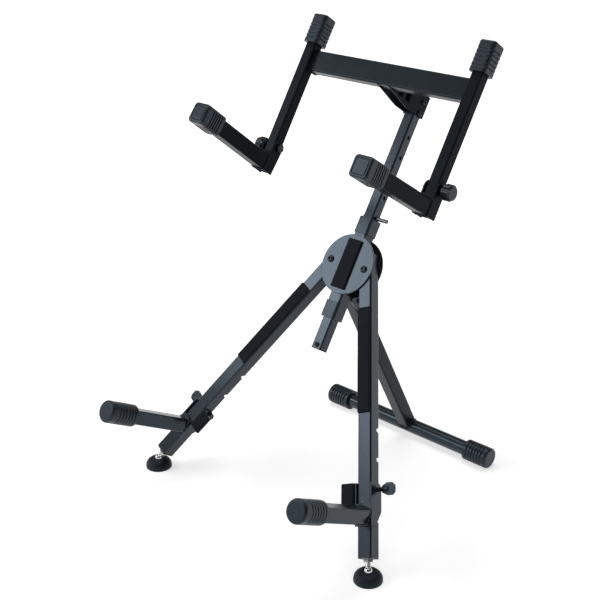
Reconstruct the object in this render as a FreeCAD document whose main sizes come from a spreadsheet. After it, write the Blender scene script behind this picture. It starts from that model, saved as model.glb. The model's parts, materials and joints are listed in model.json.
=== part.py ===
import FreeCAD, Part
import math
import os

import Sketcher
from FreeCAD import Placement, Rotation, Vector

# Folding tripod stand for an amplifier: two splayed front legs and a rear leg hang on a pair of
# hub discs, a square mast slides in a sleeve between the discs, and a frame with two folding
# arms stands forward of the mast. +Z is up, the arms point to -Y, millimetres and degrees.

# Driving sizes. Heights and reaches in the hub plane are measured from the hub centre: "up"
# along the leaning mast and "out" towards the front, square to the leaning plane.
SIZES = {
    # stance
    "lean": 32.5,
    "splay": 25.8,
    "rear_lean": 28.2,
    "foot_ball_height": 20.0,
    # square tubes
    "leg_size": 30.0,
    "tube_wall": 2.0,
    "tube_corner": 3.5,
    "leg_length": 564.0,
    "mast_size": 25.0,
    "mast_below": 183.0,
    "mast_above": 372.0,
    # hub
    "disc_diameter": 126.0,
    "disc_sheet": 3.0,
    "hub_play": 0.3,
    "bolt_offset": 44.2,
    "pivot_diameter": 10.0,
    "run_gap": 0.05,
    "mast_play": 0.5,
    "guide_play": 0.2,
    "sleeve_up": 100.0,
    "sleeve_down": 112.0,
    "collar_wall": 2.2,
    "collar_length": 35.0,
    "collar_lip": 3.0,
    "disc_pad_width": 35.0,
    "disc_pad_length": 105.0,
    "pad_thickness": 5.0,
    "pad_round": 1.6,
    # fasteners
    "head_height": 5.0,
    "head_rim": 2.3,
    "nut_height": 6.0,
    "nut_rim": 5.0,
    "socket_depth": 3.0,
    # rear hinge
    "hinge_down": 58.0,
    "hinge_back": 43.0,
    "hinge_sheet": 3.0,
    "hinge_diameter": 10.0,
    "hinge_plate_top": 18.0,
    "hinge_relief": 1.5,
    "cheek_margin": 19.0,
    "rear_bar_length": 446.0,
    "rear_bar_diameter": 32.0,
    # front leg details
    "leg_pad_start": 79.0,
    "leg_pad_length": 212.0,
    "leg_pad_width": 28.0,
    "notch_start": 323.0,
    "notch_pitch": 57.3,
    "notch_count": 4,
    "notch_held": 2,
    "notch_depth": 5.0,
    "notch_play": 0.3,
    # levelling feet
    "stem_diameter": 10.0,
    "stem_inside": 22.0,
    "ball_diameter": 16.0,
    "plug_depth": 18.0,
    "plug_flange": 3.0,
    "foot_diameter": 56.0,
    "foot_rim": 4.0,
    "foot_neck": 10.5,
    # locking pin and stop
    "pin_diameter": 8.0,
    "pin_left": 21.0,
    "pin_right": 43.0,
    "pin_pitch": 44.5,
    "pin_holes": 5,
    "stop_rise": 9.0,
    "stop_diameter": 6.0,
    # neck and upper frame
    "neck_sheet": 3.0,
    "neck_low": 333.0,
    "neck_high": 380.0,
    "neck_bend": 45.0,
    "neck_slot_width": 17.0,
    "neck_slot_length": 26.0,
    "neck_slot_rise": 12.0,
    "neck_slot_gap": 12.0,
    "neck_slot_step": 27.0,
    "neck_bolt": 8.0,
    "neck_bolt_step": 24.0,
    "frame_out": 125.0,
    "upright_size": 25.0,
    "upright_spacing": 420.0,
    "upright_low": 118.0,
    "upright_high": 458.0,
    "crossbar_low": 347.0,
    "crossbar_height": 45.0,
    "crossbar_depth": 25.0,
    "crossbar_recess": 12.0,
    # square rubber caps
    "cap_size": 38.0,
    "cap_rib": 2.5,
    "cap_length": 62.0,
    "cap_end": 6.0,
    "cap_mouth": 9.0,
    "cap_tip": 17.0,
    "cap_ribs": 4,
    "cap_groove": 2.6,
    "cap_corner": 8.0,
    "cap_round": 4.0,
    "cap_inset": 5.5,
    "cap_line": 1.4,
    "cap_play": 0.2,
    "arm_cap_size": 42.0,
    "arm_cap_length": 54.0,
    # round rubber caps
    "boot_diameter": 46.0,
    "boot_core": 42.0,
    "boot_length": 70.0,
    "boot_mouth": 8.0,
    "boot_tip": 19.0,
    "boot_ribs": 5,
    "boot_groove": 2.6,
    "boot_round": 5.0,
    "rear_boot_length": 60.0,
    "rear_boot_tip": 12.0,
    # arms
    "upper_arm_size": 32.0,
    "upper_arm_up": 133.0,
    "upper_arm_reach": 205.0,
    "left_arm_raise": 5.6,
    "lower_arm_size": 30.0,
    "lower_arm_reach": 210.0,
    "lower_arm_drop": 50.5,
    "lower_arm_dip": 5.0,
    "bracket_sheet": 3.0,
    "bracket_play": 0.4,
    "upper_pivot_up": 172.0,
    "upper_plate_high": 158.0,
    "bracket_low": 116.0,
    "screw_diameter": 8.0,
    "lower_flange_back": 7.0,
    "lower_plate_gap": 29.0,
    "ear_reach": 32.0,
    "ear_length": 42.0,
    "ear_above": 11.0,
    "ear_pad_inset": 4.0,
    # knobs
    "knob_diameter": 32.0,
    "knob_length": 20.0,
    "knob_stand": 6.0,
    "knob_flutes": 6,
    "flute_diameter": 13.0,
    "flute_sink": 3.0,
    "wing_span": 24.0,
    "wing_reach": 27.0,
    "wing_thickness": 7.0,
    "wing_round": 2.5,
    "wing_hub": 13.0,
    "wing_stand": 8.0,
}


class Dim:
    """A length with its value and the sheet expression that gives it."""

    def __init__(self, value, text):
        self.value = float(value)
        self.text = text

    def __add__(self, other):
        other = dim(other)
        return Dim(self.value + other.value, f"({self.text} + {other.text})")

    def __sub__(self, other):
        other = dim(other)
        return Dim(self.value - other.value, f"({self.text} - {other.text})")

    def __mul__(self, factor):
        factor = dim(factor)
        return Dim(self.value * factor.value, f"({self.text} * {factor.text})")

    def __truediv__(self, factor):
        factor = dim(factor)
        return Dim(self.value / factor.value, f"({self.text} / {factor.text})")

    def __neg__(self):
        return Dim(-self.value, f"(0 - {self.text})")

    __radd__ = __add__
    __rmul__ = __mul__


def dim(number):
    """The number as a Dim."""
    return number if isinstance(number, Dim) else Dim(number, f"{float(number)!r}")


doc = FreeCAD.newDocument("amplifier_stand")
sheet = doc.addObject("Spreadsheet::Sheet", "Sizes")
for row, (alias, number) in enumerate(SIZES.items(), start=1):
    sheet.set(f"A{row}", alias)
    sheet.set(f"B{row}", str(number))
    sheet.setAlias(f"B{row}", alias)
doc.recompute()


class Sheet:
    """Reads a size of the sheet as a Dim."""

    def __getattr__(self, alias):
        return Dim(sheet.get(alias), f"Sizes.{alias}")


S = Sheet()
nodes = {}


def bind(feature, **sizes):
    """Ties properties of a feature to sizes of the sheet."""
    for name, size in sizes.items():
        feature.setExpression(name, dim(size).text)


def node(feature, label):
    """Keeps a finished feature as one piece of the stand."""
    feature.Label = label
    nodes[label] = feature
    return feature


def at(x=0, y=0, z=0, axis=Vector(0, 0, 1), angle=0):
    """A placement from three lengths and a turn."""
    base = Vector(dim(x).value, dim(y).value, dim(z).value)
    return Placement(base, Rotation(axis, angle))


ACROSS, FORWARD, ALONG = Vector(1, 0, 0), Vector(0, 1, 0), Vector(0, 0, 1)


def cylinder(name, frame, radius, height):
    """A round bar that starts at the frame and runs along its z axis."""
    bar = doc.addObject("Part::Cylinder", name)
    bind(bar, Radius=radius, Height=height)
    bar.Placement = frame
    return bar


def block(name, frame, x, y, z):
    """A box between two limits on each axis of the frame."""
    box = doc.addObject("Part::Box", name)
    (x0, x1), (y0, y1), (z0, z1) = [(dim(a), dim(b)) for a, b in (x, y, z)]
    bind(box, Length=x1 - x0, Width=y1 - y0, Height=z1 - z0)
    box.Placement = frame * at(x0, y0, z0)
    return box


def hexagon(name, frame, flat_radius, height):
    """A six-sided bar, its size given by the radius to its corners."""
    bar = doc.addObject("Part::Prism", name)
    bar.Polygon = 6
    bind(bar, Circumradius=flat_radius, Height=height)
    bar.Placement = frame
    return bar


def ball(name, frame, radius):
    """A sphere about the frame's origin."""
    sphere = doc.addObject("Part::Sphere", name)
    bind(sphere, Radius=radius)
    sphere.Placement = frame
    return sphere


def fuse(name, shapes):
    """One solid from several that touch or overlap."""
    joined = doc.addObject("Part::MultiFuse", name)
    joined.Shapes = shapes
    joined.Refine = True
    return joined


def cut(name, base, tools):
    """A solid less its cutters."""
    result = doc.addObject("Part::Cut", name)
    result.Base = base
    result.Tool = tools[0] if len(tools) == 1 else fuse(name + "_cutters", tools)
    result.Refine = True
    return result


def group(name, shapes):
    """Like pieces kept together as separate solids."""
    several = doc.addObject("Part::Compound", name)
    several.Links = shapes
    return several


def body(name, frame):
    """An empty body at a frame."""
    made = doc.addObject("PartDesign::Body", name)
    made.Placement = frame
    return made


def sketch_on(made, name, role="XY_Plane", rise=0):
    """A sketch on one of the body's own planes, raised along the plane's normal."""
    sketch = made.newObject("Sketcher::SketchObject", name)
    plane = [p for p in made.Origin.OriginFeatures if p.Role == role][0]
    sketch.AttachmentSupport = [(plane, "")]
    sketch.MapMode = "FlatFace"
    rise = dim(rise)
    sketch.AttachmentOffset = at(0, 0, rise)
    sketch.setExpression(".AttachmentOffset.Base.z", rise.text)
    return sketch


def limit(sketch, size, kind, *refs):
    """A dimension of a sketch, tied to its size."""
    size = dim(size)
    index = sketch.addConstraint(Sketcher.Constraint(kind, *refs, size.value))
    sketch.setExpression(f"Constraints[{index}]", size.text)


def rounded_square(sketch, width, depth, corner):
    """A rectangle with round corners, centred on the sketch's origin."""
    first = sketch.GeometryCount
    x, y, r = dim(width).value / 2, dim(depth).value / 2, dim(corner).value
    corners = [(x - r, -y + r), (x - r, y - r), (-x + r, y - r), (-x + r, -y + r)]
    sides = [((-x + r, -y), (x - r, -y)), ((x, -y + r), (x, y - r)),
             ((x - r, y), (-x + r, y)), ((-x, y - r), (-x, -y + r))]
    for turn, (side, centre) in enumerate(zip(sides, corners)):
        sketch.addGeometry(Part.LineSegment(Vector(*side[0]), Vector(*side[1])))
        circle = Part.Circle(Vector(*centre), ALONG, r)
        start = math.radians(90 * turn - 90)
        sketch.addGeometry(Part.ArcOfCircle(circle, start, start + math.pi / 2))
    for step in range(8):
        this, following = first + step, first + (step + 1) % 8
        sketch.addConstraint(Sketcher.Constraint("Tangent", this, 2, following, 1))
    for side, way in ((0, "Horizontal"), (4, "Horizontal"), (2, "Vertical"), (6, "Vertical")):
        sketch.addConstraint(Sketcher.Constraint(way, first + side))
    for arc in (3, 5, 7):
        sketch.addConstraint(Sketcher.Constraint("Equal", first + 1, first + arc))
    sketch.addConstraint(Sketcher.Constraint("Symmetric", first, 1, first + 4, 1, -1, 1))
    limit(sketch, corner, "Radius", first + 1)
    limit(sketch, width, "DistanceX", first + 6, 1, first + 2, 1)
    limit(sketch, depth, "DistanceY", first, 1, first + 4, 1)


def ring(sketch, radius):
    """A circle about the sketch's origin."""
    index = sketch.addGeometry(Part.Circle(Vector(), ALONG, dim(radius).value))
    sketch.addConstraint(Sketcher.Constraint("Coincident", index, 3, -1, 1))
    limit(sketch, radius, "Radius", index)


def outline(sketch, points):
    """A closed outline of straight edges through points given by their two lengths."""
    spots = [Vector(dim(x).value, dim(y).value) for x, y in points]
    first = sketch.GeometryCount
    for start, end in zip(spots, spots[1:] + spots[:1]):
        sketch.addGeometry(Part.LineSegment(start, end))
    count = len(points)
    for step in range(count):
        following = first + (step + 1) % count
        sketch.addConstraint(Sketcher.Constraint("Coincident", first + step, 2, following, 1))
    for step, (x, y) in enumerate(points):
        for kind, axis, size in (("DistanceX", -2, dim(x)), ("DistanceY", -1, dim(y))):
            if size.value == 0:
                sketch.addConstraint(Sketcher.Constraint("PointOnObject", first + step, 1, axis))
            elif size.value > 0:
                limit(sketch, size, kind, -1, 1, first + step, 1)
            else:
                limit(sketch, -size, kind, first + step, 1, -1, 1)


def pad(made, sketch, length):
    """Extrudes a sketch along its normal."""
    feature = made.newObject("PartDesign::Pad", sketch.Name + "_pad")
    feature.Profile = sketch
    bind(feature, Length=length)
    return feature


def pocket(made, sketch, depth, upward=False):
    """Cuts a sketch into a body, down from its plane or upward."""
    feature = made.newObject("PartDesign::Pocket", sketch.Name + "_pocket")
    feature.Profile = sketch
    feature.Reversed = upward
    bind(feature, Length=depth)
    return feature


def turned(name, frame, points):
    """A round piece: an outline of radius and height, turned about the frame's z axis."""
    made = body(name, frame)
    profile = sketch_on(made, name + "_profile", "XZ_Plane")
    outline(profile, points)
    turn = made.newObject("PartDesign::Revolution", name + "_turn")
    turn.Profile = profile
    turn.ReferenceAxis = (profile, ["V_Axis"])
    turn.Angle = 360
    return made


def rounded(made, radius, chosen):
    """Rounds the edges of a body that the chooser picks."""
    doc.recompute()
    tip = made.Tip
    local = tip.Shape.copy()
    local.Placement = Placement()
    edges = [f"Edge{i}" for i, edge in enumerate(local.Edges, start=1) if chosen(edge)]
    fillet = made.newObject("PartDesign::Fillet", made.Name + "_fillet")
    fillet.Base = (tip, edges)
    bind(fillet, Radius=radius)
    return made


def tube(name, frame, width, depth, length):
    """A square tube that starts at the frame and runs along its z axis."""
    made = body(name, frame)
    section = sketch_on(made, name + "_section")
    rounded_square(section, width, depth, S.tube_corner)
    inner = S.tube_corner - S.tube_wall
    rounded_square(section, width - 2 * S.tube_wall, depth - 2 * S.tube_wall, inner)
    pad(made, section, length)
    return made


def pipe(name, frame, diameter, length):
    """A round tube that starts at the frame and runs along its z axis."""
    made = body(name, frame)
    section = sketch_on(made, name + "_section")
    ring(section, diameter / 2)
    ring(section, diameter / 2 - S.tube_wall)
    pad(made, section, length)
    return made


def plate(name, frame, width, depth, corner, length):
    """A bar of rounded rectangular section along the frame's z axis."""
    made = body(name, frame)
    section = sketch_on(made, name + "_section")
    rounded_square(section, width, depth, corner)
    pad(made, section, length)
    return made


MOST_LEFT = 0.9


def ribbed(made, core, band, bore, lengths, ribs):
    """A closed cap with its mouth at z = 0: a core with a mouth band, ribs, and a solid tip."""
    length, mouth, tip, groove, rounding = lengths
    rib = (length - mouth - tip - groove * (ribs + 1)) / ribs
    middle = sketch_on(made, made.Name + "_core")
    core(middle)
    pad(made, middle, length - tip / 2)
    for name, rise, height in (("_lip", 0, mouth), ("_tip", length - tip, tip)):
        section = sketch_on(made, made.Name + name, rise=rise)
        band(section)
        pad(made, section, height)
    rounded(made, rounding, lambda edge: edge.BoundBox.ZMin > (length - tip / 2).value)
    section = sketch_on(made, made.Name + "_rib", rise=mouth + groove)
    band(section)
    first = pad(made, section, rib)
    row = made.newObject("PartDesign::LinearPattern", made.Name + "_row")
    row.Originals = [first]
    row.Direction = (middle, ["N_Axis"])
    bind(row, Length=(rib + groove) * (ribs - 1), Occurrences=ribs)
    made.Tip = row
    doc.recompute()
    solid = made.Shape.Volume
    opening = sketch_on(made, made.Name + "_mouth")
    bore(opening)
    pocket(made, opening, length - S.cap_end, True)
    doc.recompute()
    if made.Shape.Volume > MOST_LEFT * solid:
        raise ValueError(f"{made.Name}: the bore cuts nothing")
    return made


def square_cap(name, frame, tube_size, size, length):
    """A ribbed rubber cap of square section for a tube's end, with a line round its face."""
    made = body(name, frame)
    core, mouth = size - 2 * S.cap_rib, tube_size + 2 * S.cap_play
    ribbed(made,
           lambda sketch: rounded_square(sketch, core, core, S.tube_corner),
           lambda sketch: rounded_square(sketch, size, size, S.cap_corner),
           lambda sketch: rounded_square(sketch, mouth, mouth, S.tube_corner),
           (length, S.cap_mouth, S.cap_tip, S.cap_groove, S.cap_round), S.cap_ribs)
    face = sketch_on(made, name + "_face", rise=length)
    outer = size - 2 * S.cap_inset
    inner = outer - 2 * S.cap_line
    rounded_square(face, outer, outer, S.cap_round + S.cap_line)
    rounded_square(face, inner, inner, S.cap_round)
    pocket(made, face, S.cap_line)
    return made


def round_cap(name, frame, bore, length, tip):
    """A ribbed rubber boot of round section for a tube's end."""
    return ribbed(body(name, frame),
                  lambda sketch: ring(sketch, S.boot_core / 2),
                  lambda sketch: ring(sketch, S.boot_diameter / 2),
                  bore, (length, S.boot_mouth, tip, S.boot_groove, S.boot_round), S.boot_ribs)


HEAD_SIDE, KEY_SHARE = 0.35, 0.32


def bolt(name, frame, diameter, length):
    """A button-head bolt with a hexagon socket: head above z = 0, shank below."""
    shank, head = diameter / 2, diameter / 2 + S.head_rim
    blank = turned(name + "_blank", frame, [
        (0, -length), (shank, -length), (shank, 0), (head, 0), (head, S.head_height * HEAD_SIDE),
        (shank, S.head_height), (0, S.head_height)])
    key = hexagon(name + "_key", frame * at(0, 0, S.head_height - S.socket_depth),
                  diameter * KEY_SHARE, S.socket_depth * 2)
    return cut(name, blank, [key])


def nut(name, frame, diameter, bore_gap=0):
    """A hexagon nut above z = 0, with its bore on the thread it holds."""
    blank = hexagon(name + "_blank", frame, diameter / 2 + S.nut_rim, S.nut_height)
    bore = cylinder(name + "_bore", frame, diameter / 2 + bore_gap, S.nut_height)
    return cut(name, blank, [bore])


def mirrored(source, label):
    """The left-hand twin of a right-hand piece."""
    twin = doc.addObject("Part::Mirroring", label)
    twin.Source = source
    twin.Normal = ACROSS
    return node(twin, label)


def pair(name, feature):
    """Keeps a right-hand piece and its left-hand twin."""
    node(feature, "right_" + name)
    mirrored(feature, "left_" + name)


# Frames. The hub frame's x runs to the right, its y up the mast and its z out to the front.
lean, splay = math.radians(S.lean.value), math.radians(S.splay.value)
rear_lean = math.radians(S.rear_lean.value)
leg_drop = math.cos(splay) * math.cos(lean)
leg_end_rise = S.plug_flange + S.nut_height + S.ball_diameter
ball_reach = S.leg_length.value + leg_end_rise.value
hub_height = S.foot_ball_height.value + ball_reach * leg_drop
hinge_y = -S.hinge_down.value * math.sin(lean) + S.hinge_back.value * math.cos(lean)
hinge_z = -S.hinge_down.value * math.cos(lean) - S.hinge_back.value * math.sin(lean)
boot_radius = S.boot_diameter / 2
rear_length = (hub_height + hinge_z - boot_radius.value) / math.cos(rear_lean)
back_reach = hinge_y + rear_length * math.sin(rear_lean) + boot_radius.value

# The round edges of the lower arms' boots reach furthest to the front, and the origin lies midway
# between them and the rear boots, on the floor.
half_leg = S.leg_size / 2
held_notch = S.notch_start + S.notch_pitch * S.notch_held
arm_spot = held_notch + S.lower_arm_drop
arm_front = half_leg + S.bracket_play + S.bracket_sheet
tip_flat = S.lower_arm_reach + S.cap_end - S.boot_round
rim_flat = boot_radius - S.boot_round
dip = math.radians(S.lower_arm_dip.value)
leg_forward = math.cos(splay) * math.sin(lean)
arm_forward = math.cos(lean) * math.cos(dip) + leg_forward * math.sin(dip)
front_reach = (arm_spot.value * leg_forward + arm_front.value * math.cos(lean)
               + tip_flat.value * arm_forward
               + rim_flat.value * math.sqrt(1 - arm_forward ** 2) + S.boot_round.value)
hub = Placement(Vector(0, (front_reach - back_reach) / 2, hub_height),
                Rotation(ACROSS, 90 - S.lean.value))

# Hub: two discs with the sleeve between them, and the leg bolts through both.
hub_gap = S.leg_size + 2 * S.hub_play
disc_face = hub_gap / 2


def disc(name, low):
    """A hub disc with the two holes for the leg bolts."""
    made = body(name + "_blank", hub * at(0, 0, low))
    profile = sketch_on(made, name + "_rim")
    ring(profile, S.disc_diameter / 2)
    pad(made, profile, S.disc_sheet)
    holes = [cylinder(f"{name}_hole{side}", hub * at(S.bolt_offset * side, 0, low),
                      S.pivot_diameter / 2, S.disc_sheet) for side in (-1, 1)]
    return node(cut(name, made, holes), name)


disc("front_disc", disc_face)
disc("rear_disc", -disc_face - S.disc_sheet)
sleeve_bore = S.mast_size + 2 * S.mast_play
sleeve = body("sleeve", hub * at(0, -S.sleeve_down, 0, ACROSS, -90))
sleeve_section = sketch_on(sleeve, "sleeve_section")
rounded_square(sleeve_section, hub_gap, hub_gap, S.tube_corner)
rounded_square(sleeve_section, sleeve_bore, sleeve_bore, S.tube_corner - S.tube_wall)
pad(sleeve, sleeve_section, S.sleeve_up + S.sleeve_down)
node(sleeve, "sleeve_tube")


def collar(name, frame):
    """A plastic collar over a sleeve end, its lip guiding the mast at z = 0."""
    outer = hub_gap + 2 * S.collar_wall
    made = body(name + "_shell", frame)
    section = sketch_on(made, name + "_section")
    rounded_square(section, outer, outer, S.tube_corner + S.collar_wall)
    rounded_square(section, hub_gap, hub_gap, S.tube_corner)
    pad(made, section, S.collar_length)
    lip = sketch_on(made, name + "_lip")
    guide = S.mast_size + 2 * S.guide_play
    rounded_square(lip, outer, outer, S.tube_corner + S.collar_wall)
    rounded_square(lip, guide, guide, S.tube_corner)
    pad(made, lip, S.collar_lip)
    return node(made, name)


collar_top = S.sleeve_up + S.collar_lip
collar("upper_collar", hub * at(0, collar_top, 0, ACROSS, 90))
collar("lower_collar", hub * at(0, -S.sleeve_down - S.collar_lip, 0, ACROSS, -90))

stack = hub_gap + 2 * S.disc_sheet
disc_front = disc_face + S.disc_sheet
node(group("pivot_bolts", [
    bolt(f"pivot_bolt{side}", hub * at(S.bolt_offset * side, 0, disc_front),
         S.pivot_diameter, stack + S.nut_height) for side in (-1, 1)]), "pivot_bolts")
node(group("pivot_nuts", [
    nut(f"pivot_nut{side}", hub * at(S.bolt_offset * side, 0, -disc_front, ACROSS, 180),
        S.pivot_diameter) for side in (-1, 1)]), "pivot_nuts")


def strip(name, frame, width, length):
    """A foam strip that lies on the frame's xy plane, its front edges rounded."""
    made = plate(name, frame, width, length, S.pad_thickness / 2, S.pad_thickness)
    return rounded(made, S.pad_round, lambda edge: edge.BoundBox.ZMin > S.pad_thickness.value / 2)


node(strip("disc_strip", hub * at(0, 0, disc_front), S.disc_pad_width, S.disc_pad_length),
     "disc_pad")

# Rear hinge: a forked bracket on the rear disc. The mitred leg end stops on its plate.
fork_inside = half_leg + S.hub_play
hinge = hub * at(0, -S.hinge_down, -S.hinge_back)
plate_back = S.hinge_back - disc_front
CHEEK_TOE = 0.25
cheek_low = -S.cheek_margin
fork_parts = [block("fork_plate", hinge, (-fork_inside, fork_inside),
                    (0, S.hinge_down - S.hinge_plate_top),
                    (plate_back - S.hinge_sheet, plate_back))]
fork_holes = []
for side in (-1, 1):
    cheek = body(f"fork_cheek{side}",
                 hinge * at(fork_inside * side, 0, 0, FORWARD, 90 * side))
    face = sketch_on(cheek, f"fork_cheek_outline{side}")
    outline(face, [(-side * plate_back, S.hinge_down - S.hinge_plate_top),
                   (-side * plate_back, cheek_low / 2),
                   (side * S.cheek_margin * CHEEK_TOE, cheek_low),
                   (side * S.cheek_margin, cheek_low / 2),
                   (side * S.cheek_margin, S.cheek_margin / 2),
                   (0, S.hinge_down - S.hinge_plate_top)])
    pad(cheek, face, S.hinge_sheet)
    fork_parts.append(cheek)
fork_span = fork_inside + S.hinge_sheet
fork_holes.append(cylinder("fork_hole", hinge * at(-fork_span, 0, 0, FORWARD, 90),
                           S.hinge_diameter / 2, fork_span * 2))
node(cut("rear_hinge_bracket", fuse("fork", fork_parts), fork_holes), "rear_hinge_bracket")
node(bolt("rear_hinge_bolt", hinge * at(fork_span, 0, 0, FORWARD, 90), S.hinge_diameter,
          fork_span * 2 + S.nut_height), "rear_hinge_bolt")
node(nut("rear_hinge_nut", hinge * at(-fork_span, 0, 0, FORWARD, -90), S.hinge_diameter),
     "rear_hinge_nut")

# Rear leg: its frame starts at the hinge and runs down the leg. Below the hinge its mitred end is
# relieved, so that it clears the plate as it folds, and its foot is cut to sit on the round bar.
rear = Placement(hinge.Base, Rotation(ACROSS, 180 + S.rear_lean.value))
REAR_OVERRUN = 1.5
rear_top = S.leg_size * REAR_OVERRUN
rear_tube_length = rear_length + rear_top.value
rear_blank = tube("rear_leg_blank", rear * at(0, 0, -rear_top), S.leg_size, S.leg_size,
                  rear_tube_length)
mitre_face = plate_back - S.hinge_sheet - S.hub_play
mitre = block("rear_leg_mitre", hinge, (-S.leg_size, S.leg_size), (-rear_top, rear_top * 2),
              (mitre_face, rear_top * 2))
relief = block("rear_leg_relief", hinge, (-S.leg_size, S.leg_size), (-rear_top, 0),
               (mitre_face - S.hinge_relief, rear_top * 2))
rear_bore = cylinder("rear_leg_bore", hinge * at(-S.leg_size, 0, 0, FORWARD, 90),
                     S.hinge_diameter / 2 + S.run_gap, S.leg_size * 2)
half_bar = S.rear_bar_length / 2
bar_frame = rear * at(0, 0, rear_length)
bar_start = bar_frame * at(-half_bar, 0, 0, FORWARD, 90)
saddle_cut = cylinder("rear_leg_saddle", bar_start, S.rear_bar_diameter / 2, S.rear_bar_length)
node(cut("rear_leg_tube", rear_blank, [mitre, relief, rear_bore, saddle_cut]), "rear_leg_tube")
node(pipe("rear_foot_bar", bar_start, S.rear_bar_diameter, S.rear_bar_length), "rear_foot_bar")
rear_boot_mouth = S.rear_boot_length - S.cap_end
node(group("rear_foot_caps", [
    round_cap(f"rear_boot{side}",
              bar_frame * at((half_bar - rear_boot_mouth) * side, 0, 0, FORWARD, 90 * side),
              lambda sketch: ring(sketch, S.rear_bar_diameter / 2 + S.cap_play),
              S.rear_boot_length, S.rear_boot_tip) for side in (-1, 1)]), "rear_foot_caps")

# Front legs, right side: the leg frame sits at its bolt, x to the outside and y up the leg.
leg = hub * at(S.bolt_offset, 0, 0, ALONG, S.splay.value)
leg_top = (S.bolt_offset.value - half_leg.value * math.cos(splay) - disc_face.value
           - S.hub_play.value) / math.sin(splay)
leg_blank = tube("leg_blank", leg * at(0, leg_top, 0, ACROSS, 90), S.leg_size, S.leg_size,
                 S.leg_length + leg_top)
leg_cuts = [cylinder("leg_bore", leg * at(0, 0, -half_leg), S.pivot_diameter / 2 + S.run_gap,
                     S.leg_size)]
screw_radius = S.screw_diameter / 2
notch_radius = screw_radius + S.notch_play
for index in range(int(S.notch_count.value)):
    drop = S.notch_start + S.notch_pitch * index
    notch = leg * at(-half_leg, -drop, S.notch_depth - half_leg, FORWARD, 90)
    leg_cuts.append(cylinder(f"notch_end{index}", notch, notch_radius, S.leg_size))
    leg_cuts.append(block(f"notch_mouth{index}", notch, (0, S.notch_depth),
                          (-notch_radius, notch_radius), (0, S.leg_size)))
pair("leg_tube", cut("leg_tube", leg_blank, leg_cuts))
pad_middle = S.leg_pad_start + S.leg_pad_length / 2
pair("leg_pad", strip("leg_pad", leg * at(0, -pad_middle, half_leg), S.leg_pad_width,
                      S.leg_pad_length))

# Levelling foot: a plug closes the leg, the stem turns in it and its ball sits in the pad, on a
# cone at 45 degrees to the ball's axis.
CONE_SHARE = math.sqrt(2) - 1
DOME_TURNS = [math.radians(turn) for turn in (18, 36, 54, 72, 90)]
leg_end = leg * at(0, -S.leg_length, 0, ACROSS, 90)
bore_size = S.leg_size - 2 * S.tube_wall
plug = plate("plug", leg_end, S.leg_size, S.leg_size, S.tube_corner, S.plug_flange)
plug_core = plate("plug_core", leg_end * at(0, 0, -S.plug_depth), bore_size, bore_size,
                  S.tube_corner - S.tube_wall, S.plug_depth)
stem_bore = S.stem_diameter / 2 + S.run_gap
plug_hole = cylinder("plug_hole", leg_end * at(0, 0, -S.plug_depth), stem_bore,
                     S.plug_depth + S.plug_flange)
pair("leg_plug", cut("leg_plug", fuse("plug_whole", [plug, plug_core]), [plug_hole]))
pair("foot_nut", nut("foot_nut", leg_end * at(0, 0, S.plug_flange), S.stem_diameter, S.run_gap))
stem = cylinder("stem", leg_end * at(0, 0, -S.stem_inside), S.stem_diameter / 2,
                S.stem_inside + leg_end_rise)
foot = leg_end * at(0, 0, leg_end_rise)
pair("foot_screw", fuse("foot_screw", [stem, ball("stem_ball", foot, S.ball_diameter / 2)]))
floor_foot = Placement(Vector(foot.Base.x, foot.Base.y, 0), Rotation())
foot_radius = S.foot_diameter / 2
seat = S.ball_diameter / 2 + S.hub_play
cone_rim = seat * CONE_SHARE
foot_top = S.foot_ball_height
dome = [(S.foot_neck + (foot_radius - S.foot_neck) * math.cos(turn),
         S.foot_rim + (foot_top - S.foot_rim) * math.sin(turn)) for turn in DOME_TURNS]
pair("foot_pad", turned("foot_pad", floor_foot, [
    (0, 0), (foot_radius, 0), (foot_radius, S.foot_rim), *dome,
    (seat, foot_top), (seat, foot_top - cone_rim), (cone_rim, foot_top - seat),
    (0, foot_top - seat)]))

# Lower arms, right side: a channel hooks on a leg notch by its clamp screw and rests on the
# front of the leg. Its tube is turned back by the splay, so that both arms' tops are level, and
# dips a little. Its inner flange carries a padded ear for the back of the amplifier.
arm_pivot = leg * at(0, -held_notch, S.notch_depth - half_leg)
channel_inside = half_leg + S.bracket_play
channel_outside = channel_inside + S.bracket_sheet
pivot_to_front = S.leg_size - S.notch_depth + S.bracket_play
plate_front = pivot_to_front + S.bracket_sheet
FLANGE_SLOPE = 0.6
arm_half = S.lower_arm_size / 2 * (math.cos(splay) + math.sin(splay))
channel_low = -S.lower_arm_drop - arm_half
channel_parts = [
    block("channel_plate", arm_pivot, (-channel_outside, channel_outside),
          (channel_low, -S.lower_plate_gap), (pivot_to_front, plate_front)),
    block("channel_ear", arm_pivot, (-channel_inside - S.ear_reach, -channel_inside),
          (S.ear_above - S.ear_length, S.ear_above), (pivot_to_front, plate_front))]
for side in (-1, 1):
    flange = body(f"channel_flange{side}",
                  arm_pivot * at(channel_inside * side, 0, 0, FORWARD, 90 * side))
    face = sketch_on(flange, f"channel_flange_outline{side}")
    outline(face, [(-side * plate_front, S.ear_above),
                   (-side * plate_front, channel_low),
                   (-side * pivot_to_front / 2, channel_low),
                   (side * S.lower_flange_back, channel_low * FLANGE_SLOPE),
                   (side * S.lower_flange_back, S.ear_above - S.lower_flange_back),
                   (0, S.ear_above)])
    pad(flange, face, S.bracket_sheet)
    channel_parts.append(flange)
channel_holes = [cylinder("channel_hole", arm_pivot * at(-channel_outside, 0, 0, FORWARD, 90),
                          screw_radius + S.run_gap, channel_outside * 2)]
pair("lower_bracket", cut("lower_bracket", fuse("channel", channel_parts), channel_holes))
arm_root = arm_half * math.tan(dip)
arm_frame = (arm_pivot * at(0, -S.lower_arm_drop, plate_front, ACROSS, S.lower_arm_dip.value)
             * at(axis=ALONG, angle=-S.splay.value))
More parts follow.
